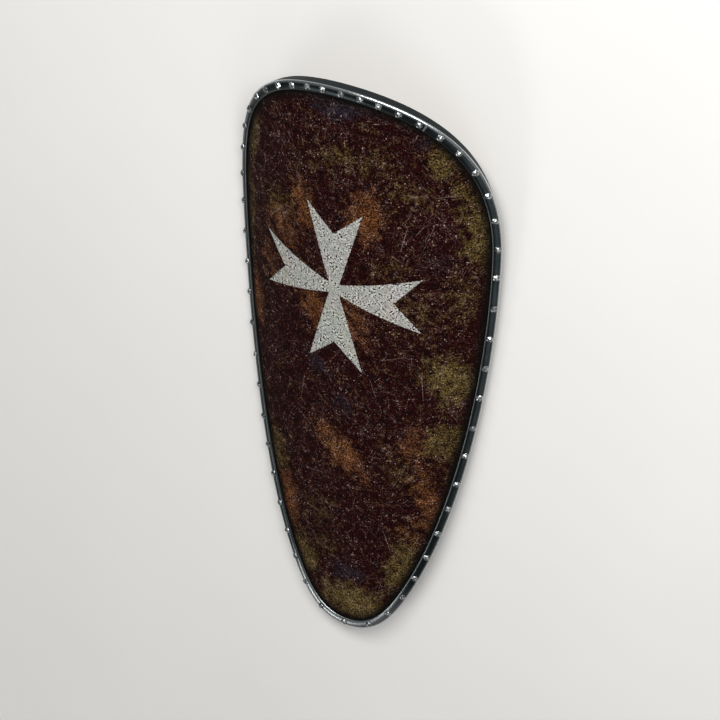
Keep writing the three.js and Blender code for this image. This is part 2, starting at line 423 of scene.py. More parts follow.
def makeRim():
    r = rimSteel
    # the section is drawn as a ring of vertices, then run round the outline as a curve's bevel
    section = rimProfile()
    clearSelection()
    bpy.ops.mesh.primitive_circle_add(vertices=len(section), radius=10 * mm, fill_type="NOTHING")
    profile = named("rimSection")
    for vertex, (x, y) in zip(profile.data.vertices, section):
        vertex.co = (-x, y, 0)
    bpy.ops.object.convert(target="CURVE")
    clearSelection()
    bpy.ops.curve.primitive_bezier_circle_add(radius=100 * mm)
    rim = named("steelRim")
    bpy.ops.object.mode_set(mode="EDIT")
    bpy.ops.curve.select_all(action="SELECT")
    bpy.ops.curve.select_all(action="DESELECT")
    for point in rim.data.splines[0].bezier_points[:3]:
        point.select_control_point = True
    bpy.ops.curve.subdivide()
    bpy.ops.object.mode_set(mode="OBJECT")
    right = [tuple(Vector(point) for point in curve) for curve in rightCurves()]
    left = [tuple(Vector((-p.x, p.y)) for p in reversed(curve)) for curve in reversed(right)]
    curves = right + left
    for i, point in enumerate(rim.data.splines[0].bezier_points):
        before, after = curves[i - 1], curves[i]
        point.handle_left_type = "FREE"
        point.handle_right_type = "FREE"
        point.co = (*after[0], 0)
        point.handle_left = (*before[2], 0)
        point.handle_right = (*after[1], 0)
    rim.data.dimensions = "2D"
    rim.data.fill_mode = "NONE"
    rim.data.resolution_u = r["curveSteps"]
    rim.data.bevel_mode = "OBJECT"
    rim.data.bevel_object = profile
    pick(rim)
    bpy.ops.object.convert(target="MESH")
    rim = bpy.context.object
    bpy.data.objects.remove(profile)
    fixNormals(rim)
    # the seam, where the two ends of the strip meet
    at, outwards = edgePoint(r["seamAt"], r["width"] / 2)
    clearSelection()
    bpy.ops.mesh.primitive_cube_add(size=1, location=(at.x, at.y, backLevel / 2),
                                    rotation=(0, 0, math.atan2(outwards.y, outwards.x)))
    saw = bpy.context.object
    saw.scale = (r["width"] * 2, r["seamGap"], r["sawDepth"])
    named("saw")
    applyModifier(rim, "BOOLEAN", operation="DIFFERENCE", solver="EXACT", object=saw)
    bpy.data.objects.remove(saw)
    # how far across the strip each vertex is, and how far from the board, for the wear
    keepValues(rim, "across", -insideDistances(rim))
    keepValues(rim, "height", [vertex.co.z for vertex in rim.data.vertices])
    front = rim.vertex_groups.new(name="front")
    for vertex in rim.data.vertices:
        front.add([vertex.index], share(vertex.co.z, r["dentsFrom"], r["dentsTo"]), "REPLACE")
    dent(rim, "front", "NORMAL", "rimDents", *r["dents"])
    bend(rim)
    smooth(rim, r["smoothBelow"])
    return rim


nailHead = {
    "radius": 6.7 * mm,
    "sides": 6,
    "rings": ((0.9, 0.93), (1.5, 0.82), (1.2, 0.6), (0.8, 0.4)),   # rise in mm, and narrowing
    "height": 4.2 * mm,          # where the last blow left it flat
    "facet": 0.65 * mm,          # how far the hammer moved each corner
    "edge": 0.2 * mm,
    "edgeAngle": math.radians(8),
    "smoothBelow": 20,
    "sunk": 0.25 * mm,           # into the rim's uneven face
    "kinds": 6,
    "seed": 5,                   # for which kind goes where, and how it is turned
    "shank": 3.6 * mm,
    "shankLength": 14 * mm,
    "shankPoint": 0.35,          # the point's width, as a share of the shank's
    "colours": ("#b4b7b6", "#34383a"),
    "scaleSize": 2.2,            # patches of scale, mm
}


def nailPlace(node):
    # where the nail's own axis meets the board, in flat places
    corners = frame["nodes"][node].data.vertices
    middle = sum((vertex.co for vertex in corners), Vector()) / len(corners)
    middle = lyingPlace.inverted() @ middle
    return bendRadius * math.atan2(middle.x, middle.z + bendRadius), middle.y


def makeNail(seed):
    # a forged dome, flat under the head, with the hammer's facets
    n = nailHead
    clearSelection()
    bpy.ops.mesh.primitive_circle_add(vertices=n["sides"], radius=n["radius"], fill_type="NGON")
    nail = named("forgedNail")
    editAll(nail)
    for rise, narrow in n["rings"]:
        extrude(0, 0, rise * mm)
        bpy.ops.transform.resize(value=(narrow, narrow, 1))
    editVertices(nail, lambda co: co.z > tiny)
    bpy.ops.transform.vertex_random(offset=n["facet"], seed=seed)
    bpy.ops.mesh.select_all(action="SELECT")
    bpy.ops.mesh.bisect(plane_co=(0, 0, n["height"]), plane_no=(0, 0, 1), clear_outer=True, use_fill=True)
    editFaces(nail, lambda face: face.center.z < tiny)
    bpy.ops.mesh.inset(thickness=n["radius"] - n["shank"] / 2)
    extrude(0, 0, -n["shankLength"])
    bpy.ops.transform.resize(value=(n["shankPoint"], n["shankPoint"], 1))
    fixNormals(nail)
    editFaces(nail, lambda face: face.center.z > tiny)
    bpy.ops.mesh.quads_convert_to_tris(quad_method="BEAUTY", ngon_method="BEAUTY")
    applyModifier(nail, "BEVEL", width=n["edge"], segments=2, limit_method="ANGLE",
                  angle_limit=n["edgeAngle"])
    smooth(nail, n["smoothBelow"])
    return nail


def placeNails(finish):
    masters = [makeNail(seed) for seed in range(1, nailHead["kinds"] + 1)]
    chance = random.Random(nailHead["seed"])
    nodes = sorted(name for name in frame["nodes"] if "_nail_" in name)
    for node in nodes:
        pick(chance.choice(masters))
        bpy.ops.object.duplicate(linked=False)
        nail = named("forged_" + node)
        x, y = nailPlace(node)
        spin = Matrix.Rotation(chance.uniform(0, 2 * math.pi), 4, "Z")
        if node.startswith("rim"):
            place = onBoard(x, y, rimSteel["stand"] - nailHead["sunk"]) @ spin
        else:
            # the straps' nails point out of the back
            level = backLevel - leatherStrap["lift"] - leatherStrap["thickness"] + nailHead["sunk"]
            place = onBoard(x, y, level) @ Matrix.Rotation(math.pi, 4, "Y") @ spin
        nail.data.transform(place)
        nail.data.materials.append(finish)
        layDown(nail, node)
    for master in masters:
        bpy.data.objects.remove(master)
    print(len(nodes), "nails driven in")


leatherStrap = {
    "width": 40 * mm,
    "thickness": 4 * mm,
    "endLength": 44 * mm,
    "level": 40 * mm,            # on the shield, for the middle of both straps
    "lift": 1.4 * mm,            # off the board, for the round of its back
    "steps": 30,
    "columns": 8,
    "edgeRound": 1.2 * mm,
    "edgeAngle": math.radians(50),
    "smoothBelow": 40,
    "creaseIn": 4 * mm,          # pressed line, from the strap's edge
    "creaseHalf": 0.7 * mm,
    "creaseDepth": 0.4 * mm,
    "colours": ("#2c1a10", "#5a3820"),
    "pebble": 1.8,               # the hide's grain, mm
    "handled": 30,               # dark places, mm
    "straps": {
        "arm_strap": {"across": 95 * mm, "span": 170 * mm, "stand": 60 * mm},
        "hand_strap": {"across": -95 * mm, "span": 140 * mm, "stand": 48 * mm},
    },
}


def strapLine(strap):
    # side view of the inner face: flat ends on the board and a loop between them, as (along, out)
    half = strap["span"] / 2
    rise = (strap["stand"] - leatherStrap["thickness"]) / 2
    line = [(-half - leatherStrap["endLength"], 0), (-half - leatherStrap["endLength"] / 2, 0)]
    for i in range(leatherStrap["steps"] + 1):
        y = -half + strap["span"] * i / leatherStrap["steps"]
        line.append((y, rise * (1 + math.cos(math.pi * y / half))))
    line += [(half + leatherStrap["endLength"] / 2, 0), (half + leatherStrap["endLength"], 0)]
    return line


def makeStrap(node, finish):
    # a strip pulled out station by station, then given its thickness and rubbed edges
    st = leatherStrap
    strap = st["straps"][node]
    line = strapLine(strap)
    clearSelection()
    bpy.ops.mesh.primitive_grid_add(x_subdivisions=st["columns"], y_subdivisions=1, size=1)
    leather = bpy.context.object
    first, second = line[0], line[1]
    leather.scale = (st["width"], second[0] - first[0], 1)
    leather.location = (0, (first[0] + second[0]) / 2, 0)
    named("leather_" + node)
    lead = second[0]
    editVertices(leather, lambda co: abs(co.y - lead) < tiny)
    for before, after in zip(line[1:], line[2:]):
        extrude(0, after[0] - before[0], before[1] - after[1])
    # creased lines near both edges, pressed in from outside
    editAll(leather)
    for side in (-1, 1):
        for near in (-1, 0, 1):
            bpy.ops.mesh.select_all(action="SELECT")
            at = side * (st["width"] / 2 - st["creaseIn"]) + near * st["creaseHalf"]
            bpy.ops.mesh.bisect(plane_co=(at, 0, 0), plane_no=(1, 0, 0))
    fixNormals(leather)
    facing = sum(face.normal.z * face.area for face in leather.data.polygons)
    creaseAt = st["width"] / 2 - st["creaseIn"]
    editVertices(leather, lambda co: abs(abs(co.x) - creaseAt) < tiny)
    bpy.ops.transform.shrink_fatten(value=math.copysign(st["creaseDepth"], facing))
    applyModifier(leather, "SOLIDIFY", thickness=st["thickness"], offset=-1 if facing > 0 else 1,
                  use_even_offset=True)
    applyModifier(leather, "BEVEL", width=st["edgeRound"], segments=3, limit_method="ANGLE",
                  angle_limit=st["edgeAngle"])
    # along the strap, for the grain
    along = [0.0]
    for before, after in zip(line, line[1:]):
        along.append(along[-1] + math.dist(before, after))
    ys = [place[0] for place in line]
    mapFlat(leather, lambda co: (co.x, float(np.interp(co.y, ys, along))))
    leather.data.transform(onBoard(strap["across"], st["level"], backLevel - st["lift"]))
    smooth(leather, st["smoothBelow"])
    leather.data.materials.append(finish)
    layDown(leather, node)


def linear(hexColour):
    # sRGB hex to the linear values that a shader wants
    parts = [int(hexColour[i:i + 2], 16) / 255 for i in (1, 3, 5)]
    return [v / 12.92 if v <= 0.04045 else ((v + 0.055) / 1.055) ** 2.4 for v in parts] + [1]


# settings that many nodes share
colours = {"data_type": "RGBA"}
soft = {"interpolation_type": "SMOOTHSTEP"}
product = {"operation": "MULTIPLY"}
productSum = {"operation": "MULTIPLY_ADD"}


def addNode(tree, kind, inputs=(), **settings):
    # its inputs go by name or number, or in the order of its sockets, and each is a value, a socket, or a
    # node whose result is wanted
    node = tree.nodes.new("ShaderNode" + kind)
    for key, value in settings.items():
        setattr(node, key, value)
    for key, value in inputs.items() if isinstance(inputs, dict) else enumerate(inputs):
        if isinstance(value, bpy.types.Node):
            value = value.outputs[2 if value.bl_idname == "ShaderNodeMix" else 0]
        if isinstance(value, bpy.types.NodeSocket):
            tree.links.new(value, node.inputs[key])
        else:
            node.inputs[key].default_value = value
    return node


def newMaterial(name, flatMap=None):
    # an empty material, what adds nodes to it, and the place in mm: on the flat map, or in the scene
    material = bpy.data.materials.new(name)
    material.use_nodes = True
    material.node_tree.nodes.clear()
    add = partial(addNode, material.node_tree)
    where = add("UVMap", uv_map=flatMap) if flatMap else add("TexCoord").outputs["Object"]
    return material, add, add("Mapping", {"Vector": where, "Scale": (1 / mm, 1 / mm, 1 / mm)})


def finishMaterial(material, colour, shine, more):
    finish = {"Base Color": colour, "Roughness": shine, **more}
    shader = addNode(material.node_tree, "BsdfPrincipled", finish)
    addNode(material.node_tree, "OutputMaterial", {"Surface": shader})
    return material


# What is painted on the field. A stain is given in mm on the flat board: across, up, half width, half
# height, then its turn in degrees and how strongly it covers.
fieldPaint = {
    "wine": ("#0e0202", "#280706"),
    "olive": ("#30260f", "#5c4d2a"),
    "rust": ("#40240f", "#6a4226"),
    "slate": ("#19151a", "#262029"),
    "white": ("#8b8a85", "#bcbbb4"),
    "chalk": "#eceae4",
    # near black, for grime in the pits and for the dirt and painted shade inside the rim
    "grimeAndShade": "#0a0907",
    "fleck": "#d3b8ac",
    "oliveStains": (
        (165, 270, 30, 42, 25, 0.75), (220, 135, 28, 62, 0, 0.95), (200, 205, 28, 38, 20, 0.65),
        (182, -140, 40, 62, 15, 1.0), (172, -275, 40, 50, -10, 0.8), (104, -560, 28, 70, -18, 0.9),
        (20, -672, 78, 44, 0, 1.0), (-88, -598, 30, 52, 18, 0.85), (-160, -400, 34, 52, 10, 0.7),
        (-208, 215, 20, 62, 0, 0.8), (10, 245, 105, 32, 10, 0.5), (-140, 120, 60, 40, 35, 0.45),
        (85, 62, 62, 28, 20, 0.4), (128, -18, 46, 58, 0, 0.45), (-40, -560, 46, 36, -20, 0.4),
        (100, -340, 40, 50, 30, 0.4), (-60, -480, 42, 50, -25, 0.35), (-225, 60, 16, 120, 0, 0.6),
        (200, 20, 36, 60, 0, 0.45), (110, 210, 60, 32, -15, 0.4), (-75, 20, 30, 30, 0, 0.4),
    ),
    "rustStains": (
        (-78, 140, 30, 50, 15, 0.9), (42, 150, 34, 52, -20, 0.9), (-128, 80, 40, 52, 40, 0.7),
        (-62, -45, 30, 46, 20, 0.85), (-165, -5, 26, 50, 20, 0.55), (-212, -112, 24, 56, 5, 0.95),
        (22, -55, 28, 60, 12, 0.6), (-34, -305, 38, 32, -35, 0.7), (0, -340, 44, 30, -45, 0.92),
        (30, -380, 34, 20, -40, 0.45), (150, -400, 30, 84, 12, 0.75), (128, -285, 28, 56, 5, 0.6),
        (-134, -500, 28, 64, 14, 0.9), (125, -485, 24, 36, 0, 0.5),
    ),
    "slateStains": (
        (-5, 330, 66, 20, 0, 0.9), (-52, -168, 32, 20, -30, 0.75), (0, -228, 34, 20, -20, 0.6),
        (8, -606, 34, 22, 10, 0.8), (132, 306, 22, 14, 0, 0.6), (160, 75, 30, 26, 0, 0.5),
    ),
    "stainEdge": (0.2, 1.6),     # full inside the first share of its half width, gone at the second
    "stainBreak": (1.98, 2.78),  # bare and covered, once the stain is broken up by the grains
    "wander": (67.2, 29.4),      # how far a stain's outline strays in slow and in quick waves, mm
    "haze": 0.3,                 # olive grime that drifts over all of the field
    "cross": {"across": -17, "arm": 151, "tip": 51.5, "notch": 105, "neck": 6.8, "cover": 0.95},
    "crossTone": (0.3, 0.86),    # how far its colour drifts, and the least of it
    "crossGrain": 0.3,           # of the speckle that the rest of the field has
    # thin straight cuts: from, to, and half width in mm
    "scratches": (
        (112, 158, 96, 92, 0.7), (140, 158, 118, 128, 0.6), (80, 92, 104, 78, 0.8),
        (150, 205, 205, 212, 0.6), (-168, 70, -120, 118, 0.6), (60, -120, 120, -98, 0.5),
        (45, -150, 62, -205, 0.5), (-80, -190, -92, -262, 0.5), (135, -120, 141, -205, 0.5),
        (70, -470, 92, -540, 0.7), (30, 20, 88, 34, 0.5),
    ),
    "scratchEdge": (0.5, 1.1),
    # grains of the old paint: size in mm, detail and roughness
    "grains": {
        "cloud": (55, 3, 0.6),
        "patches": (16, 3, 0.6),
        "speckle": (3.0, 2, 0.65),       # the real one is finer and wouldn't show
        "dabs": (7, 2, 0.6),
        "pitting": (3.3, 1.5, 0.6),
        "flaking": (30, 4, 0.7),
        "hairs": (34, 0, 0.5),           # the loops that fine hair scratches are parts of
    },
    # the pale flecks are flaked paint and also painted glints
    "fleckStep": 3.1,            # between flecks, mm, though not every place has one
    "fleckRound": 0.38,          # a fleck's radius, as a share of that
    "fleckRare": (0.97, 0.34),   # share of the places without one, where few and where many have flaked
    "fleckGlow": 4,              # how much lighter than the paint the faint ones are
    "strokes": (12, 70, 128),    # directions that things have brushed past in, degrees
    "stroke": (13, 1.7),         # a stroke's length and width, mm
    "strokeCover": 0.42,
    "grimeAndShadeReach": 16,            # from the rim inwards, mm
}


def ovalCover(add, place, ovals, edge):
    # soft ovals, the strongest one winning where they meet
    cover = None
    for across, up, halfWidth, halfHeight, turn, strength in ovals:
        near = add("Mapping", {"Vector": place, "Location": (across, up, 0),
                               "Rotation": (0, 0, math.radians(turn)),
                               "Scale": (halfWidth, halfHeight, 1)}, vector_type="TEXTURE")
        away = add("VectorMath", [near], operation="LENGTH").outputs["Value"]
        oval = add("MapRange", [away, edge[0], edge[1], strength, 0], **soft)
        cover = oval if cover is None else add("Math", [cover, oval], operation="MAXIMUM")
    return cover


def crossCover(add, place, ragged):
    # eight points: in each quarter, a line from the neck to the tip and one from the tip to the notch
    c = fieldPaint["cross"]
    moved = add("VectorMath", [place, (c["across"], 0, 0)], operation="SUBTRACT")
    folded = add("VectorMath", [moved], operation="ABSOLUTE")
    ways = add("SeparateXYZ", [folded]).outputs[:2]
    near = add("Math", ways, operation="MINIMUM")
    far = add("Math", ways, operation="MAXIMUM")
    side = add("Math", [far, (c["tip"] - c["neck"]) / c["arm"], c["neck"]], **productSum)
    sideRoom = add("Math", [side, near], operation="SUBTRACT")
    end = add("Math", [near, (c["arm"] - c["notch"]) / c["tip"], c["notch"]], **productSum)
    endRoom = add("Math", [end, far], operation="SUBTRACT")
    room = add("Math", [sideRoom, endRoom], operation="MINIMUM")
    chipped = add("Math", [room, ragged], operation="ADD")
    return add("MapRange", [chipped, -0.6, 0.6], **soft)


def paintedOakFace():
    # Old oil paint on gessoed oak: stained, knocked and scratched, with a dry broken shine. The eye sees
    # soft clouds of colour under a hard, fine speckle.
    p = fieldPaint
    material, add, place = newMaterial("agedOilPaintOnOak", "flat")
    cloud, patches, speckle, dabs, pitting, flaking, hairs = (
        add("TexNoise", {"Vector": place, "Scale": 1 / size, "Detail": detail, "Roughness": rough})
        for size, detail, rough in p["grains"].values())

    # stains stray from their round patches
    strayed = place
    for wave, reach in zip((cloud, patches), p["wander"]):
        drift = add("VectorMath", [wave.outputs["Color"], (0.5, 0.5, 0.5)], operation="SUBTRACT")
        strayed = add("VectorMath", [drift, (reach, reach, 0), strayed], **productSum)
    shade = add("MapRange", [patches, 0.3, 0.7])
    tones = {name: add("Mix", {0: shade, 6: linear(p[name][0]), 7: linear(p[name][1])}, **colours)
             for name in ("wine", "rust", "olive", "slate")}
    haze = add("MapRange", [cloud, 0.45, 0.68, 0, p["haze"]])
    colour = tones["wine"]
    for name in ("rust", "olive", "slate"):
        cover = ovalCover(add, strayed, p[name + "Stains"], p["stainEdge"])
        if name == "olive":
            cover = add("Math", [cover, haze], operation="MAXIMUM")
        # dabbed on, so its edge breaks up at three sizes
        for grain, strength in ((dabs, 1), (speckle, 0.9), (patches, 1.5)):
            cover = add("Math", [grain, strength, cover], **productSum)
        cover = add("MapRange", [cover, *p["stainBreak"]])
        colour = add("Mix", {0: cover, 6: colour, 7: tones[name]}, **colours)
    field = colour

    # the cross, chipped along its edges
    ragged = add("Math", [speckle, 3.2, -1.6], **productSum)
    cross = crossCover(add, place, ragged)
    shade = add("MapRange", [patches, 0.25, 0.7])
    white = add("Mix", {0: shade, 6: linear(p["white"][0]), 7: linear(p["white"][1])}, **colours)
    drift, least = p["crossTone"]
    tinted = add("VectorMath", [cloud.outputs["Color"], [drift] * 3, [least] * 3], **productSum)
    white = add("VectorMath", [white, tinted], **product)
    thin = add("Math", [cross, p["cross"]["cover"]], **product)
    colour = add("Mix", {0: thin, 6: colour, 7: white}, **colours)

    # speckle lifts and sinks the colour
    strength = add("MapRange", [cross, 0, 1, 1, p["crossGrain"]])
    speck = add("MapRange", [speckle, 0.38, 0.64, 0, 2.3])
    colour = add("Mix", {0: strength, 6: colour, 7: speck}, blend_type="MULTIPLY", **colours)

    # pits gather in clouds, and the gesso of the cross is the most brittle
    pitCloud = add("MapRange", [patches, 0.42, 0.62])
    pitDepth = add("Math", [pitCloud, 0.13, -0.68], **productSum)
    pitDepth = add("Math", [pitting, pitDepth], operation="ADD")
    pitDepth = add("Math", [cross, 0.04, pitDepth], **productSum)
    pits = add("MapRange", [pitDepth, 0, 0.04], **soft)
    flakes = add("MapRange", [pitting, 0.42, 0.34], **soft)
    for where in (cross, pitCloud):
        flakes = add("Math", [flakes, where], **product)

    # pale flecks where the paint has flaked to its ground, and painted glints: dots in some of the cells,
    # more in places
    shaken = add("VectorMath", [speckle.outputs["Color"], (2.5, 2.5, 0), place], **productSum)
    cells = add("TexVoronoi", {"Vector": shaken, "Scale": 1 / p["fleckStep"]}, voronoi_dimensions="2D")
    drawn = add("SeparateColor", [cells.outputs["Color"]])
    rare = add("MapRange", [flaking, 0.38, 0.62, *p["fleckRare"]])
    lucky = add("Math", [drawn.outputs["Red"], rare], operation="SUBTRACT")
    bright = add("MapRange", [lucky, 0, 0.6], **soft)
    dot = add("MapRange", [cells, p["fleckRound"] * 0.5, p["fleckRound"], 1, 0], **soft)
    flecks = add("Math", [bright, dot], **product)
    # short strokes, rubbed in from a few directions, each in its own patches
    length, width = p["stroke"]
    for i, degrees in enumerate(p["strokes"]):
        brushed = add("Mapping", {"Vector": place, "Rotation": (0, 0, math.radians(-degrees)),
                                  "Location": (190 * i, 70 * i, 31 * i)})
        brushed = add("Mapping", {"Vector": brushed, "Scale": (1 / length, 1 / width, 1)})
        grain = add("TexNoise", {"Vector": brushed, "Scale": 1, "Detail": 1})
        where = add("TexNoise", {"Vector": brushed, "Scale": 0.12, "Detail": 2})
        both = add("Math", [where, 0.7, grain], **productSum)
        stroke = add("MapRange", [both, 1.04, 1.13, 0, p["strokeCover"]], **soft)
        flecks = add("Math", [flecks, stroke], operation="MAXIMUM")
    flecks = add("Math", [cross, -0.7, flecks], **productSum)
    flecks = add("Math", [flecks, 0], operation="MAXIMUM")
    # they show the ground and some of the colour that lay over it, and stand in part as painted glints
    groundAndGlint = add("VectorMath", {0: field, "Scale": p["fleckGlow"]}, operation="SCALE")
    bare = add("MapRange", [drawn.outputs["Green"], 0.7, 1, 0.13, 0.9])
    groundAndGlint = add("Mix", {0: bare, 6: groundAndGlint, 7: linear(p["fleck"])}, **colours)

    scratches = []
    for fromX, fromY, toX, toY, halfWidth in p["scratches"]:
        turn = math.degrees(math.atan2(toY - fromY, toX - fromX))
        halfLength = math.dist((fromX, fromY), (toX, toY)) / 2
        scratches.append(((fromX + toX) / 2, (fromY + toY) / 2, halfLength, halfWidth, turn, 1))
    scratch = ovalCover(add, place, scratches, p["scratchEdge"])
    worn = add("Math", [scratch, speckle], **product)
    worn = add("MapRange", [worn, 0.25, 0.6, 0, 0.35])
    # hair scratches: thin level lines of a slow noise, only here and there
    level = add("Math", [hairs, 0.5], operation="SUBTRACT")
    level = add("Math", [level], operation="ABSOLUTE")
    hair = add("MapRange", [level, 0.003, 0.011, 1, 0])
    patchy = add("MapRange", [patches, 0.5, 0.6])
    for where in (patchy, speckle):
        hair = add("Math", [hair, where], **product)
    worn = add("Math", [hair, 0.25, worn], **productSum)

    for cover, coat in ((pits, linear(p["grimeAndShade"])), (flakes, linear(p["chalk"])), (flecks, groundAndGlint),
                        (worn, linear(p["fleck"]))):
        colour = add("Mix", {0: cover, 6: colour, 7: coat}, **colours)

    # dirt and painted shade lie in the corner under the rim
    inside = add("Attribute", attribute_name="edgeDistance").outputs["Fac"]
    grimeAndShade = p["grimeAndShadeReach"] * mm
    reach = add("Math", [patches, -1.2 * grimeAndShade, inside], **productSum)
    clearOfGrimeAndShade = add("MapRange", [reach, -0.6 * grimeAndShade, 0.7 * grimeAndShade], **soft)
    colour = add("Mix", {0: clearOfGrimeAndShade, 6: linear(p["grimeAndShade"]), 7: colour}, **colours)

    # relief: grain stands up, pits and scratches go in
    relief = speckle
    for grain, height in ((pits, -0.8), (worn, -0.6), (dabs, 0.8)):
        relief = add("Math", [grain, height, relief], **productSum)
    bump = add("Bump", {"Strength": 0.9, "Distance": 0.9 * mm, "Height": relief})
    shine = add("MapRange", [speckle, 0.3, 0.7, 0.92, 0.66])
    more = {"IOR": 1.48, "Specular IOR Level": 0.05, "Normal": bump}
    return finishMaterial(material, colour, shine, more)


def bareOak():
    # Riven oak left bare and handled: straight open grain up the planks, greyed, darker in the joints
    material, add, place = newMaterial("bareRivenOak", "flat")
    # each plank has its own stretch of grain and its own tone
    width = paintedBoard["plankWidth"] / mm
    ring, pore, hand = paintedBoard["oakGrain"]
    across = add("SeparateXYZ", [place]).outputs["X"]
    plank = add("Math", [across, width / 2], operation="ADD")
    plank = add("Math", [plank, width], operation="SNAP")
    ownTone = add("TexWhiteNoise", {"W": plank}, noise_dimensions="1D")
    ownTone = add("MapRange", [ownTone, 0, 1, 0.72, 1.15])
    shift = add("CombineXYZ", [plank, plank])
    shifted = add("VectorMath", [shift, (0.3, 7.3, 0), place], **productSum)
    drawn = add("Mapping", {"Vector": shifted, "Scale": (1, 0.045, 1)})
    rings = add("TexNoise", {"Vector": drawn, "Scale": 1 / ring, "Detail": 4,
                             "Roughness": 0.6, "Distortion": 0.4})
    pores = add("TexNoise", {"Vector": drawn, "Scale": 1 / pore, "Detail": 2, "Roughness": 0.7})
    handled = add("TexNoise", {"Vector": place, "Scale": 1 / hand, "Detail": 3})
    tone = add("ValToRGB", [rings])
    for stop, position, shade in zip(tone.color_ramp.elements, (0.3, 0.72), paintedBoard["oak"]):
        stop.position = position
        stop.color = linear(shade)
    dirt = add("MapRange", [handled, 0.35, 0.65, 0.65, 1.1])
    colour = add("Mix", {0: 0.9, 6: tone, 7: dirt}, blend_type="MULTIPLY", **colours)
    colour = add("Mix", {0: 1, 6: colour, 7: ownTone}, blend_type="MULTIPLY", **colours)
    openPores = add("MapRange", [pores, 0.58, 0.68, 0, 0.7])
    colour = add("Mix", {0: openPores, 6: colour, 7: linear(paintedBoard["poreColour"])}, **colours)
    relief = add("Math", [openPores, -0.7, rings], **productSum)
    bump = add("Bump", {"Strength": 0.7, "Distance": 0.5 * mm, "Height": relief})
    shine = add("MapRange", [rings, 0, 1, 0.78, 0.58])
    return finishMaterial(material, colour, shine, {"IOR": 1.5, "Normal": bump})


rimFinish = {
    "tones": ("#2a3031", "#363c3d"),
    # bright rubbed steel, also used to paint highlights on the corner, the inner edge, the toe and the
    # seam
    "polishedAndHighlight": "#c6caca",
    "dirt": "#14130f",
    # dark scale for the wall, which also stands as painted shade there
    "scale": "#2a3032",
    # where each mark starts and where it is full, in mm, and how strong it is then. It goes by the way
    # across from the paint, the height over the board or the place along the shield as it lies.
    "corner": (11, 15.2, 1),
    "top": (-1, 2.4, 1),
    "innerEdge": (3, 1.2, 0.1),
    "toe": (-400, -520, 0.55),
    "seam": (1.8, 0.9, 1),               # to each side of it
    "wall": (0.4, -1.6, 1),
    # dirt, and painted shade, in the crevice low on the lip and on the back by the board
    "dirtAndShadeUp": (1.5, 0.9, 0.8),
    "dirtAndShadeAcross": (9, 8, 1),
    "scaleCover": 0.7,
    "cloud": 24,                         # sizes of the sheet's slow and fine marks, mm
    "fine": 2.5,
}


def bluedSteel():
    # Sheet steel blued by heat and beaten over the edge: dark and cool, rubbed bright on its outer
    # corner and painted there with a highlight, with dirt and painted shade down by the paint
    f = rimFinish
    material, add, place = newMaterial("bluedSheetSteel")
    across = add("Attribute", attribute_name="across").outputs["Fac"]
    height = add("Attribute", attribute_name="height").outputs["Fac"]
    along = add("SeparateXYZ", [place]).outputs["Y"]
    cloud = add("TexNoise", {"Vector": place, "Scale": 1 / f["cloud"], "Detail": 4, "Roughness": 0.6})
    fine = add("TexNoise", {"Vector": place, "Scale": 1 / f["fine"], "Detail": 3, "Roughness": 0.7})
    tone = add("MapRange", [cloud, 0.35, 0.65])
    colour = add("Mix", {0: tone, 6: linear(f["tones"][0]), 7: linear(f["tones"][1])}, **colours)
    # both ends of the strip are lightened where they meet, a painted highlight as if their edges caught
    # the light
    at, outwards = edgePoint(rimSteel["seamAt"], rimSteel["width"] / 2)
    seam = lyingPlace @ onBoard(at.x, at.y, rimSteel["stand"])
    strip = seam.to_3x3() @ Vector((outwards.y, -outwards.x, 0))
    fromSeam = add("VectorMath", [place, seam.translation / mm], operation="SUBTRACT")
    beside = add("VectorMath", [fromSeam, strip], operation="DOT_PRODUCT").outputs["Value"]
    beside = add("Math", [beside], operation="ABSOLUTE")
    away = add("VectorMath", [fromSeam], operation="LENGTH").outputs["Value"]
    near = add("Math", [away, 2 * rimSteel["width"] / mm], operation="LESS_THAN")
    marks = {}
    for name, value, unit in (("corner", across, mm), ("top", height, mm), ("innerEdge", across, mm),
                              ("toe", along, 1), ("seam", beside, 1), ("wall", height, mm),
                              ("dirtAndShadeUp", height, mm), ("dirtAndShadeAcross", across, mm)):
        start, full, strength = f[name]
        marks[name] = add("MapRange", [value, start * unit, full * unit, 0, strength], **soft)
    # rubbed where the flange turns into the wall, and the toe has been set down on the ground; both are
    # lightened further as painted highlights
    wearAndHighlightBreakup = add("MapRange", [fine, 0.3, 0.6, 0.88])
    for name, limit in (("corner", marks["top"]), ("corner", wearAndHighlightBreakup), ("toe", wearAndHighlightBreakup), ("seam", near),
                        ("seam", marks["top"]), ("dirtAndShadeUp", marks["dirtAndShadeAcross"])):
        marks[name] = add("Math", [marks[name], limit], **product)
    # the wall keeps its dull scale, also a painted shade that keeps it dark
    marks["scale"] = add("Math", [marks["wall"], f["scaleCover"]], **product)
    for name, coat in (("corner", "polishedAndHighlight"), ("innerEdge", "polishedAndHighlight"), ("toe", "polishedAndHighlight"),
                       ("seam", "polishedAndHighlight"), ("scale", "scale"), ("dirtAndShadeUp", "dirt")):
        colour = add("Mix", {0: marks[name], 6: colour, 7: linear(f[coat])}, **colours)
    relief = add("Math", [cloud, 2, fine], **productSum)
    bump = add("Bump", {"Strength": 0.12, "Distance": 0.2 * mm, "Height": relief})
    shine = add("MapRange", [fine, 0.3, 0.7, 0.28, 0.38])
    # the rubbed corner is the smoothest, and the wall the roughest
    for name, rougher in (("corner", -0.08), ("wall", 0.34)):
        shine = add("Math", [marks[name], rougher, shine], **productSum)
    return finishMaterial(material, colour, shine, {"Metallic": 1.0, "Normal": bump})


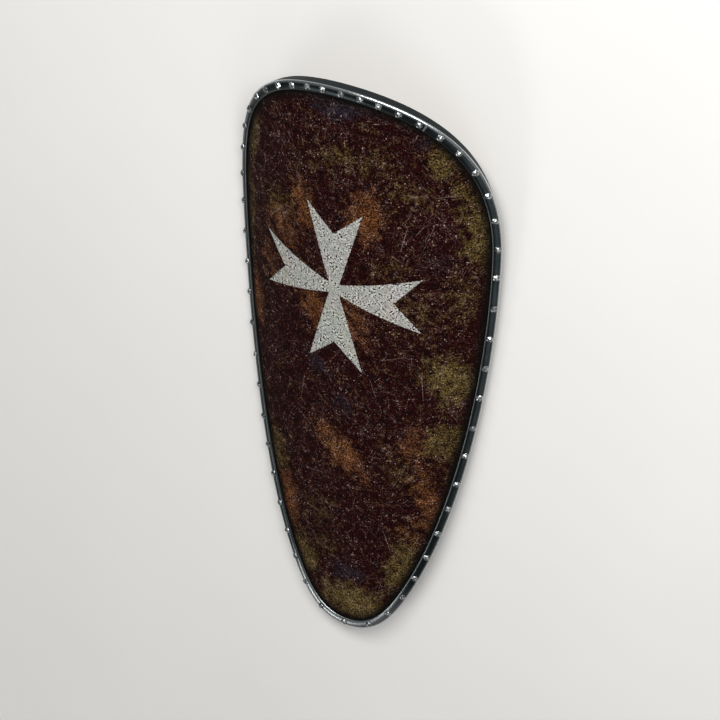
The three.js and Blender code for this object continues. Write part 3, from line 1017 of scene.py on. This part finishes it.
def forgedSteel():
    # Bare forged steel heads, bright on the hammer's flats and grey with scale between them
    material, add, place = newMaterial("forgedNailSteel")
    scale = add("TexNoise", {"Vector": place, "Scale": 1 / nailHead["scaleSize"], "Detail": 3,
                             "Roughness": 0.6})
    tone = add("MapRange", [scale, 0.47, 0.57])
    bright, dull = nailHead["colours"]
    colour = add("Mix", {0: tone, 6: linear(bright), 7: linear(dull)}, **colours)
    bump = add("Bump", {"Strength": 0.5, "Distance": 0.2 * mm, "Height": scale})
    shine = add("MapRange", [scale, 0.35, 0.65, 0.26, 0.4])
    return finishMaterial(material, colour, shine, {"Metallic": 1.0, "Normal": bump})


def oiledLeather():
    # Oiled oak-tanned hide: pebbled grain, darker where it is handled and in the creases
    material, add, place = newMaterial("oiledHarnessLeather", "flat")
    pebble = add("TexVoronoi", {"Vector": place, "Scale": 1 / leatherStrap["pebble"]},
                 feature="DISTANCE_TO_EDGE")
    handled = add("TexNoise", {"Vector": place, "Scale": 1 / leatherStrap["handled"], "Detail": 4,
                               "Roughness": 0.6})
    tone = add("MapRange", [handled, 0.35, 0.65])
    dark, pale = leatherStrap["colours"]
    colour = add("Mix", {0: tone, 6: linear(dark), 7: linear(pale)}, **colours)
    crease = add("MapRange", [pebble, 0, 0.12, 0.55])
    colour = add("Mix", {0: 1, 6: colour, 7: crease}, blend_type="MULTIPLY", **colours)
    relief = add("Math", [pebble, 0.2], operation="MINIMUM")
    bump = add("Bump", {"Strength": 0.6, "Distance": 1.2 * mm, "Height": relief})
    shine = add("MapRange", [handled, 0, 1, 0.4, 0.62])
    return finishMaterial(material, colour, shine, {"IOR": 1.46, "Normal": bump})


studio = {
    "floorSize": 14,
    "floorColours": ("#e6e4e0", "#edebe7"),
    "mottle": 400,               # mm
    "world": "#c9ccd0",
    "worldStrength": 0.25,
    # a soft box is placed by the direction it shines from, seen from the shield's middle
    "lightsAway": 4.5,
    "lights": (
        {"name": "headLight", "from": (0.27, 0.69, 0.67), "size": (4.4, 1.1), "watts": 230},
        {"name": "fillLight", "from": (0.75, -0.45, 0.60), "size": (3, 3), "watts": 28},
        {"name": "toeLight", "from": (-0.50, -0.62, 0.60), "size": (2.4, 0.8), "watts": 32},
    ),
    # in the shield's own frame before it lies down, metres
    "cameraAt": (1.3396, 1.8171, 2.2982),
    "cameraBack": (0.3987, 0.5919, 0.7005),
    "cameraUp": (-0.2928, 0.8060, -0.5144),
    "lens": 100.17,
    "farthest": 50,
}


def limestoneFloor():
    # honed pale stone, plain, with only a breath of mottling
    material, add, place = newMaterial("honedPaleStone")
    mottle = add("TexNoise", {"Vector": place, "Scale": 1 / studio["mottle"], "Detail": 4})
    dark, pale = studio["floorColours"]
    colour = add("Mix", {0: mottle, 6: linear(dark), 7: linear(pale)}, **colours)
    return finishMaterial(material, colour, 0.75, {})


def makeStudio():
    clearSelection()
    bpy.ops.mesh.primitive_plane_add(size=studio["floorSize"])
    floor = named("floor")
    floor.data.materials.append(limestoneFloor())
    world = bpy.data.worlds.new("studioAir")
    world.use_nodes = True
    background = world.node_tree.nodes["Background"]
    background.inputs["Color"].default_value = linear(studio["world"])
    background.inputs["Strength"].default_value = studio["worldStrength"]
    bpy.context.scene.world = world
    for light in studio["lights"]:
        way = Vector(light["from"]).normalized()
        bpy.ops.object.light_add(type="AREA", location=way * studio["lightsAway"],
                                 rotation=way.to_track_quat("Z", "Y").to_euler())
        lamp = bpy.context.object
        lamp.name = light["name"]
        lamp.data.shape = "ELLIPSE"
        lamp.data.size, lamp.data.size_y = light["size"]
        lamp.data.energy = light["watts"]
    lean = lyingPlace.to_3x3()
    back = (lean @ Vector(studio["cameraBack"])).normalized()
    up = (lean @ Vector(studio["cameraUp"])).normalized()
    right = up.cross(back).normalized()
    turn = Matrix((right, back.cross(right), back)).transposed()
    bpy.ops.object.camera_add(location=lyingPlace @ Vector(studio["cameraAt"]), rotation=turn.to_euler())
    camera = bpy.context.object
    camera.name = "viewCamera"
    camera.data.lens = studio["lens"]
    camera.data.clip_end = studio["farthest"]
    bpy.context.scene.camera = camera
    bpy.context.scene.view_settings.view_transform = "Standard"


board = makeBoard()
board.data.materials.append(paintedOakFace())
board.data.materials.append(bareOak())
for face in board.data.polygons:
    face.material_index = 0 if face.normal.z > paintedBoard["paintedAbove"] else 1
layDown(board, "board")
print("board made,", len(board.data.polygons), "faces")

rim = makeRim()
rim.data.materials.append(bluedSteel())
layDown(rim, "steel_rim")
print("rim made,", len(rim.data.polygons), "faces")

placeNails(forgedSteel())

leatherFinish = oiledLeather()
for node in leatherStrap["straps"]:
    makeStrap(node, leatherFinish)
print("straps made")

makeStudio()
print("studio set")
